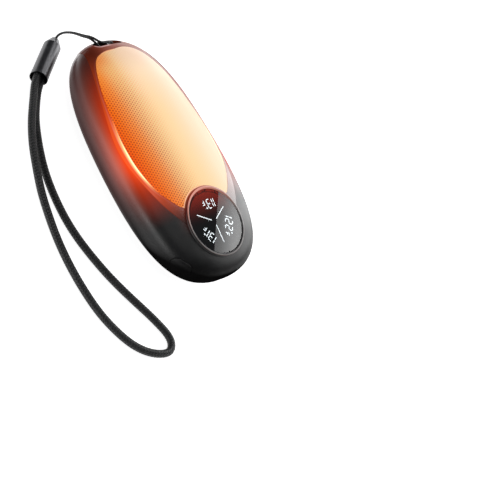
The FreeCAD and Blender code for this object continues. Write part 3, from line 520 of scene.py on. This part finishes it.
WINDOW_ZONES = {
    "dots_across": ("across", (4.0, -12.0), (0.03, 0.9)),
    "dots_along": ("along", (-46.0, -20.0), (0.25, 1.0)),
    # The pale zones place a painted reflection: a cream patch
    "pale_along": ("along", (-12.0, -44.0), (0.0, 0.5)),
    "pale_across": ("across", (-10.0, 2.0)),
    "corner_along": ("along", (-36.0, -43.0), (0.0, 0.8)),
    "corner_across": ("across", (-4.0, -13.0)),
    "line_depth": ("depth", (0.55, 0.1)),
    "line_begin": ("along", LINE_BEGIN),
    "line_end": ("along", LINE_END),
    "seam_depth": ("depth", (0.4, 0.1)),
    "seam_along": ("along", (14.0, 20.0), (0.0, 0.8)),
    "far_dimming": ("along", (WINDOW_FAR, WINDOW_FAR + 14.0), (0.78, 1.0)),
    "coat": ("across", (-20.0, 4.0), (0.05, 1.0)),
}
# Glow painted across the window: orange on one side, cream on the other where it stands in for a reflection
WINDOW_GLOW_COLOURS = [(0.0, (0.94, 0.08, 0.0)), (0.1, (0.93, 0.18, 0.003)), (0.2, (0.92, 0.32, 0.045)),
                  (0.3, (0.83, 0.53, 0.17)), (0.42, (0.85, 0.65, 0.26)), (0.6, (0.84, 0.7, 0.34)),
                  (0.8, (0.82, 0.74, 0.48)), (0.9, (0.81, 0.7, 0.46)), (1.0, (0.78, 0.54, 0.32))]
WINDOW_SLANT = -0.07
WINDOW_SHIFT = -0.6
WINDOW_DARK = (0.35, 0.05, 0.004)
WINDOW_LIGHT = (0.42, 0.065, 0.006)
PALE_REFLECTION_CREAM = (0.88, 0.82, 0.68)
CORNER_ORANGE = (0.9, 0.26, 0.04)
DOT_BROWN = (0.32, 0.028, 0.002)
LINE_YELLOW = (1.0, 0.86, 0.45)
SEAM_BROWN = (0.16, 0.03, 0.01)
GLOW_STRENGTH = 0.86
LINE_GAIN = 0.9


def dot_pattern(tree, fields):
    """Rows of round dots in two layers, so that each row lies half a pitch aside from the next."""
    layers = []
    for shift in (0.0, 0.5):
        row = total(tree, calc(tree, "DIVIDE", fields["along"], DOT_PITCH), shift)
        column = total(tree, calc(tree, "DIVIDE", fields["across"], DOT_PITCH * DOT_ROW_GAP), shift)
        from_row = calc(tree, "SUBTRACT", calc(tree, "FRACT", row), 0.5)
        from_column = calc(tree, "SUBTRACT", calc(tree, "FRACT", column), 0.5)
        reach = distance(tree, from_row, product(tree, from_column, DOT_ROW_GAP))
        layers.append(spread(tree, reach, DOT_EDGE))
    return calc(tree, "MAXIMUM", *layers)


def window_colour(tree, fields, zone, line):
    """Colour of the window's painted light, with its dots, its bright line, its dark seam and a pale cream
    patch of painted reflection.
    """
    slant = calc(tree, "MULTIPLY_ADD", fields["along"], WINDOW_SLANT, WINDOW_SHIFT)
    side = spread(tree, total(tree, fields["across"], slant), (-HALF_WINDOW, HALF_WINDOW), smooth=False)
    colour = ramp(tree, side, WINDOW_GLOW_COLOURS)
    dots = product(tree, dot_pattern(tree, fields), meet(tree, zone, "dots_across", "dots_along"))
    for share, second in ((meet(tree, zone, "pale_along", "pale_across"), PALE_REFLECTION_CREAM),
                          (meet(tree, zone, "corner_along", "corner_across"), CORNER_ORANGE),
                          (dots, DOT_BROWN), (line, LINE_YELLOW),
                          (meet(tree, zone, "seam_depth", "seam_along"), SEAM_BROWN)):
        colour = tint(tree, share, colour, second)
    return colour


def window_material():
    """Amber window, lit along its long edges, with rows of fine dots behind its gloss."""
    made, tree, shader, place = start("amber_window", Specular_IOR_Level=0.12, Coat_Roughness=0.42)
    fields = body_fields(tree, place)
    fields["depth"] = window_depth(tree, fields)
    zone = zones(tree, fields, WINDOW_ZONES)
    cloud = noise(tree, place, scale=60.0)
    line = meet(tree, zone, "line_depth", "line_begin", "line_end")
    glow = total(tree, product(tree, line, LINE_GAIN), GLOW_STRENGTH)
    feed(tree, shader, Base_Color=blotches(tree, cloud, WINDOW_DARK, WINDOW_LIGHT),
         Roughness=uneven(tree, cloud, (0.4, 0.46)), Coat_Weight=zone["coat"],
         Emission_Color=window_colour(tree, fields, zone, line),
         Emission_Strength=product(tree, zone["far_dimming"], glow))
    return made


# Display, cords, sleeve and boards

MASK_NEAR = (DISPLAY_X + 2.0, DISPLAY_X - 14.0)
MASK_GLOW_POWER = 2.0
MASK_RED = (1.0, 0.07, 0.03)
FIBRE_SHARE = 0.6
# Painted shade: flat black inside the sleeve's mouth
MOUTH_SHADE_BLACK = (0.002, 0.002, 0.002)
COPPER_EDGE = (0.08, 0.14)
COPPER_GREEN = (0.03, 0.16, 0.06)
BOARD_GREEN = (0.012, 0.085, 0.03)


def glass_material():
    """Smoked glass that hides all but the lit marks, with a faint smear."""
    made, tree, shader, place = start("display_glass", Transmission_Weight=1.0, IOR=1.75)
    smear = noise(tree, place, scale=70.0, detail=4.0)
    feed(tree, shader, Base_Color=blotches(tree, smear, (0.058, 0.058, 0.059), (0.062, 0.062, 0.063)),
         Roughness=spread(tree, smear, stretch=(0.35, 0.75), levels=(0.0, 0.02)))
    return made


def mask_material(name, strength):
    """Black print or rubber at the display; the window's light reaches its nearer side as dark red."""
    made, tree, shader, place = start(name, Specular_IOR_Level=0.2, Emission_Color=MASK_RED)
    along = body_fields(tree, place)["along"]
    fine = noise(tree, place, scale=2600.0)
    near = calc(tree, "POWER", spread(tree, along, MASK_NEAR), MASK_GLOW_POWER)
    feed(tree, shader, Base_Color=blotches(tree, fine, (0.006, 0.006, 0.007), (0.012, 0.011, 0.012)),
         Roughness=uneven(tree, fine, (0.6, 0.75)), Emission_Strength=product(tree, near, strength))
    return made


def segments_material():
    """Lit numbers: cool white, a little uneven as diffused lamps are."""
    made, tree, shader, place = start("display_light", Roughness=0.5)
    cloud = noise(tree, place, scale=300.0)
    feed(tree, shader, Base_Color=blotches(tree, cloud, (0.7, 0.75, 0.8), (0.8, 0.85, 0.9)),
         Emission_Color=blotches(tree, cloud, (0.86, 0.95, 1.0), (0.95, 1.0, 1.0)),
         Emission_Strength=uneven(tree, cloud, (20.0, 22.0)))
    return made


def cord_material(name, dark, light):
    """Nylon yarn with a soft shine along its fibres."""
    made, tree, shader, place = start(name, Specular_IOR_Level=0.5)
    fibre = noise(tree, place, scale=4200.0)
    cloud = noise(tree, place, scale=160.0)
    mixed = total(tree, product(tree, fibre, FIBRE_SHARE), product(tree, cloud, 1.0 - FIBRE_SHARE))
    feed(tree, shader, Base_Color=blotches(tree, mixed, dark, light),
         Roughness=uneven(tree, fibre, (0.34, 0.48)), Normal=bump(tree, fibre, strength=0.3, depth=0.00006))
    return made


def ferrule_material():
    """Grey turned metal, with shade painted black inside its open mouth."""
    made, tree, shader, place = start("ferrule_metal", Metallic=PLAIN_METAL)
    from_top = vector(tree, "SUBTRACT", 0, {0: place, 1: FERRULE_TOP})
    aside = vector(tree, "CROSS_PRODUCT", 0, {0: from_top, 1: FERRULE_AXIS})
    reach = vector(tree, "LENGTH", "Value", {0: aside})
    travel = vector(tree, "DOT_PRODUCT", "Value", {0: from_top, 1: FERRULE_AXIS})
    # Share of painted shade: deep in the mouth the metal turns flat black, neither lit nor mirrored
    inside = product(tree, spread(tree, reach, MOUTH_SHADE_WALL), spread(tree, travel, MOUTH_SHADE_BEGIN))
    cloud = noise(tree, place, scale=400.0)
    fine = noise(tree, place, scale=6000.0, detail=2.0)
    worn = blotches(tree, cloud, (0.1, 0.1, 0.104), (0.125, 0.125, 0.13))
    feed(tree, shader, Base_Color=tint(tree, inside, worn, MOUTH_SHADE_BLACK),
         Roughness=uneven(tree, cloud, (0.3, 0.36)),
         Metallic=spread(tree, inside, stretch=(0.0, 1.0), levels=(1.0, 0.0)),
         Specular_IOR_Level=spread(tree, inside, stretch=(0.0, 1.0), levels=(0.5, 0.0)),
         Normal=bump(tree, fine, strength=0.05, depth=0.00005))
    return made


def board_material():
    """Green board with paler runs of copper under the mask."""
    made, tree, shader, place = start("circuit_board", Specular_IOR_Level=0.5)
    cells = add(tree, "ShaderNodeTexVoronoi", {"Vector": place, "Scale": 420.0}, distance="MANHATTAN",
                feature="DISTANCE_TO_EDGE")
    runs = spread(tree, cells.outputs["Distance"], COPPER_EDGE)
    feed(tree, shader, Base_Color=tint(tree, runs, COPPER_GREEN, BOARD_GREEN),
         Roughness=spread(tree, runs, stretch=(0.0, 1.0), levels=(0.3, 0.42)),
         Normal=bump(tree, runs, strength=0.3, depth=0.00005))
    return made


# Finishes: colour, roughness, grain per metre and, for plastics, its strength; cords have two colours

PLASTICS = {
    "rear_shell": ((0.013, 0.0125, 0.0125), (0.42, 0.52), 3800.0, 0.35),
    "lamp_strip": ((0.85, 0.62, 0.3), (0.4, 0.55), 1500.0, 0.1),
    "heater_film": ((0.5, 0.2, 0.05), (0.25, 0.35), 1200.0, 0.1),
    "foam": ((0.12, 0.12, 0.125), (0.85, 0.95), 2200.0, 0.8),
    "ceramic": ((0.42, 0.3, 0.2), (0.4, 0.5), 2500.0, 0.1),
    "red_wire": ((0.42, 0.02, 0.015), (0.35, 0.45), 2500.0, 0.1),
    "lamps": ((0.9, 0.85, 0.5), (0.3, 0.4), 2500.0, 0.05),
    "ribbon": ((0.5, 0.25, 0.05), (0.35, 0.45), 1800.0, 0.1),
    "socket_plastic": ((0.75, 0.72, 0.65), (0.4, 0.5), 2500.0, 0.1),
    "chips": ((0.015, 0.015, 0.016), (0.45, 0.6), 3500.0, 0.3),
    "ferrite": ((0.05, 0.05, 0.052), (0.5, 0.65), 2500.0, 0.3),
    "socket_core": ((0.01, 0.01, 0.01), (0.35, 0.45), 2500.0, 0.1),
    "switch_housing": ((0.02, 0.02, 0.02), (0.4, 0.5), 2500.0, 0.1),
    "switch_plunger": ((0.7, 0.68, 0.62), (0.4, 0.5), 2500.0, 0.1),
}
METALS = {
    "heat_spreader": ((0.8, 0.8, 0.8), (0.3, 0.4), 900.0),
    "screws": ((0.55, 0.55, 0.56), (0.28, 0.4), 2500.0),
    "socket_steel": ((0.62, 0.62, 0.63), (0.22, 0.32), 2500.0),
    "battery_foil": ((0.72, 0.72, 0.73), (0.35, 0.5), 700.0),
    "bar_steel": ((0.6, 0.6, 0.62), (0.15, 0.25), 2500.0),
}
CORDS = {
    "thin_cord": ((0.010, 0.010, 0.010), (0.03, 0.03, 0.031)),
    "braided_cord": ((0.004, 0.004, 0.004), (0.012, 0.012, 0.0125)),
    "paler_yarn": ((0.014, 0.014, 0.0145), (0.042, 0.042, 0.043)),
}
MASK_GLOWS = {"gasket": 1.0, "display_mask": 4.6}

FINISHES = {
    "gloss_cover": cover_material(),
    "amber_window": window_material(),
    "clear_acrylic": moulded("clear_acrylic", (0.85, 0.8, 0.7), (0.08, 0.14), 900.0, 0.05,
                             Transmission_Weight=0.8),
    "display_glass": glass_material(),
    "display_light": segments_material(),
    "circuit_board": board_material(),
    "ferrule_metal": ferrule_material(),
}
for slot in ("soft_touch_shell", "button_cap"):
    FINISHES[slot] = casing_material(slot)
for slot, glow in MASK_GLOWS.items():
    FINISHES[slot] = mask_material(slot, glow)
for make, table in ((moulded, PLASTICS), (metal, METALS), (cord_material, CORDS)):
    for slot, values in table.items():
        FINISHES[slot] = make(slot, *values)

for entry in frame["record"]["subparts"]:
    finishes = frame["nodes"][entry["node"]].data.materials
    finishes.clear()
    finishes.append(FINISHES[entry["material_slot"]])


# Lanyard

def cord_piece(name, route, diameter):
    """Smooth round cord that follows its route's points."""
    data = bpy.data.curves.new(name, "CURVE")
    data.dimensions = "3D"
    line = data.splines.new("NURBS")
    line.points.add(len(route) - 1)
    for point, place in zip(line.points, route):
        point.co = (place[0] * MM, place[1] * MM, place[2] * MM, 1.0)
    line.order_u = 3
    line.use_endpoint_u = True
    line.resolution_u = CURVE_STEPS
    data.bevel_depth = diameter * MM / 2
    data.bevel_resolution = BEVEL_STEPS
    made = bpy.data.objects.new(name, data)
    scene.collection.objects.link(made)
    return made


def line_points(piece, step):
    """Evenly spaced points along a cord's own line, in metres."""
    bare = piece.data.copy()
    bare.bevel_depth = 0.0
    carrier = bpy.data.objects.new("line", bare)
    mesh = bpy.data.meshes.new_from_object(carrier)
    raw = [vertex.co.copy() for vertex in mesh.vertices]
    bpy.data.objects.remove(carrier)
    bpy.data.meshes.remove(mesh)
    bpy.data.curves.remove(bare)
    spaced = []
    waiting = 0.0
    for near, far in zip(raw, raw[1:]):
        run = (far - near).length
        while waiting < run:
            spaced.append(near.lerp(far, waiting / run))
            waiting += step
        waiting -= run
    return spaced


def line_frames(points):
    """Each point of a line with its direction and a steady pair of side directions."""
    side = Vector((0, 0, 1))
    frames = []
    for place, point in enumerate(points):
        before = points[max(place - 1, 0)]
        after = points[min(place + 1, len(points) - 1)]
        along = (after - before).normalized()
        side = (side - along * side.dot(along)).normalized()
        frames.append((point, along, side, along.cross(side)))
    return frames


def strands(name, piece, step, turns):
    """Mesh of yarn strands wound on a cord.

    Each of turns is a function of the travel along the cord in millimetres. It gives a strand's angle round
    the cord, its slant, its distance from the middle, its half width and its half height there.
    """
    frames = line_frames(line_points(piece, step * MM))
    vertices = []
    faces = []
    for wind in turns:
        first = len(vertices)
        for place, (point, along, side, other) in enumerate(frames):
            angle, slant, radius, half_width, half_height = wind(place * step)
            outward = side * math.cos(angle) + other * math.sin(angle)
            round_way = other * math.cos(angle) - side * math.sin(angle)
            flat = round_way * math.cos(slant) - along * math.sin(slant)
            middle = point + outward * radius * MM
            vertices.append(middle + flat * half_width * MM)
            vertices.append(middle + outward * half_height * MM)
            vertices.append(middle - flat * half_width * MM)
            vertices.append(middle - outward * half_height * MM)
            if place:
                ring = first + place * STRAND_CORNERS
                before = ring - STRAND_CORNERS
                for corner in range(STRAND_CORNERS):
                    turn = (corner + 1) % STRAND_CORNERS
                    faces.append((ring + corner, ring + turn, before + turn, before + corner))
        faces.append(tuple(range(first, first + STRAND_CORNERS)))
        faces.append(tuple(reversed(range(len(vertices) - STRAND_CORNERS, len(vertices)))))
    data = bpy.data.meshes.new(name)
    data.from_pydata(vertices, [], faces)
    data.polygons.foreach_set("use_smooth", [True] * len(faces))
    made = bpy.data.objects.new(name, data)
    scene.collection.objects.link(made)
    return made


def braid_turns(way):
    """One of two sets of strands wound opposite ways, each over one and under one of the other set."""
    slant = way * math.atan2(2 * math.pi * BRAID_RADIUS, BRAID_PITCH)
    turns = []
    for number in range(BRAID_STRANDS):
        begin = 2 * math.pi * number / BRAID_STRANDS

        def wind(travel, begin=begin):
            turned = 2 * math.pi * travel / BRAID_PITCH
            radius = BRAID_RADIUS + way * BRAID_WAVE * math.cos(BRAID_STRANDS * turned)
            return begin + way * turned, slant, radius, STRAND_HALF_WIDTH, STRAND_HALF_HEIGHT
        turns.append(wind)
    return turns


def twist_turns():
    """Strands laid side by side round the middle of the thin cord."""
    turns = []
    for number in range(TWIST_STRANDS):
        begin = 2 * math.pi * number / TWIST_STRANDS

        def wind(travel, begin=begin):
            return begin + 2 * math.pi * travel / TWIST_PITCH, 0.0, TWIST_RADIUS, TWIST_HALF, TWIST_HALF
        turns.append(wind)
    return turns


def dress(piece, finish):
    """Give a piece its finish and its slot, and let it ride on the body."""
    piece.data.materials.append(FINISHES[finish])
    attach(piece, "body")


wrist_cord = cord_piece("wrist_cord", CORD_ROUTE, CORD_DIAMETER)
braid_right = strands("wrist_cord_braid_right", wrist_cord, BRAID_STEP, braid_turns(1))
braid_left = strands("wrist_cord_braid_left", wrist_cord, BRAID_STEP, braid_turns(-1))
thin_cord = cord_piece("tie_cord", TIE_ROUTE, TIE_DIAMETER)
twist = strands("tie_cord_twist", thin_cord, TWIST_STEP, twist_turns())
dress(wrist_cord, "braided_cord")
dress(braid_right, "braided_cord")
dress(braid_left, "paler_yarn")
dress(thin_cord, "thin_cord")
dress(twist, "thin_cord")
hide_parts("lanyard_cord")
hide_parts("lanyard_tie")


# Camera: lens in millimetres, place in metres, and its own directions

LENS = 80.46
SENSOR_WIDTH = 36.0
CLIP_START = 0.01
CAMERA_PLACE = (0.09806, -0.30249, 0.30723)
CAMERA_RIGHT = (0.48115, 0.63508, 0.60429)
CAMERA_UP = (-0.86871, 0.25293, 0.42587)
CAMERA_BACK = (0.11762, -0.72986, 0.6734)

lens = bpy.data.cameras.new("camera")
lens.lens = LENS
lens.sensor_width = SENSOR_WIDTH
lens.clip_start = CLIP_START
camera = bpy.data.objects.new("camera", lens)
camera_turn = Matrix((CAMERA_RIGHT, CAMERA_UP, CAMERA_BACK)).transposed()
camera.matrix_world = Matrix.Translation(CAMERA_PLACE) @ camera_turn.to_4x4()
scene.collection.objects.link(camera)
scene.camera = camera


# Floor and light, in metres

FLOOR_REACH = 12.0
FLOOR_GREY = (0.8, 0.8, 0.8)
FLOOR_WHITE = (1.0, 1.0, 1.0)
FLOOR_LEVEL = 0.92
WORLD_COLOUR = (0.9, 0.95, 1.0, 1.0)
WORLD_STRENGTH = 0.12


def floor_piece():
    """White floor that looks evenly lit, directly and in mirrors, but lends no glow to dull surfaces."""
    signs = ((-1, -1), (1, -1), (1, 1), (-1, 1))
    corners = [(FLOOR_REACH * along, FLOOR_REACH * across, 0) for along, across in signs]
    data = bpy.data.meshes.new("floor")
    data.from_pydata(corners, [], [(0, 1, 2, 3)])
    made = bpy.data.objects.new("floor", data)
    scene.collection.objects.link(made)
    finish, tree, shader, _ = start("floor", Roughness=0.9, Specular_IOR_Level=0.0,
                                    Base_Color=FLOOR_GREY, Emission_Color=FLOOR_WHITE)
    path = add(tree, "ShaderNodeLightPath").outputs
    bounced = calc(tree, "MAXIMUM", path["Is Glossy Ray"], path["Is Transmission Ray"])
    seen = calc(tree, "MAXIMUM", path["Is Camera Ray"], bounced)
    feed(tree, shader, Emission_Strength=product(tree, seen, FLOOR_LEVEL))
    data.materials.append(finish)


def softbox(name, place, aim, width, height, radiance, roll=0.0):
    """Rectangular lamp of an even brightness, facing a point and rolled about that line."""
    data = bpy.data.lights.new(name, "AREA")
    data.shape = "RECTANGLE"
    data.size = width
    data.size_y = height
    data.energy = radiance * math.pi * width * height
    made = bpy.data.objects.new(name, data)
    away = (Vector(place) - Vector(aim)).normalized()
    level = Matrix.Rotation(roll, 3, away) @ Vector((0, 0, 1)).cross(away).normalized()
    lamp_turn = Matrix((level, away.cross(level), away)).transposed()
    made.matrix_world = Matrix.Translation(place) @ lamp_turn.to_4x4()
    scene.collection.objects.link(made)
    return data


def feather(data, begin, level):
    """Let a softbox fade from a share of its height to a level at its edge."""
    data.use_nodes = True
    tree = data.node_tree
    spot = add(tree, "ShaderNodeNewGeometry").outputs["Parametric"]
    upward = add(tree, "ShaderNodeSeparateXYZ", {0: spot}).outputs["Y"]
    fading = spread(tree, upward, (begin, 1.0), (1.0, level))
    tree.links.new(fading, tree.nodes["Emission"].inputs["Strength"])


floor_piece()
card = softbox("card", place=(-0.0821, 0.5, 0.1715), aim=(-0.0821, 0.0, 0.1715), width=1.0, height=0.45,
               radiance=3.4, roll=math.radians(-30.4))
feather(card, begin=0.93, level=0.36)
softbox("front", place=(-0.1, -0.95, 0.09), aim=(-0.1, 0.0, 0.09), width=0.9, height=0.18, radiance=6.0)
softbox("top", place=(0.0, -0.15, 1.2), aim=(0.0, 0.0, 0.0), width=0.8, height=0.8, radiance=0.7)
softbox("strip", place=(-0.365, 0.543, 0.766), aim=(-0.055, -0.02, 0.004), width=0.5, height=0.16,
        radiance=4.5)

world = bpy.data.worlds.new("world")
scene.world = world
world.use_nodes = True
background = world.node_tree.nodes["Background"]
background.inputs["Color"].default_value = WORLD_COLOUR
background.inputs["Strength"].default_value = WORLD_STRENGTH
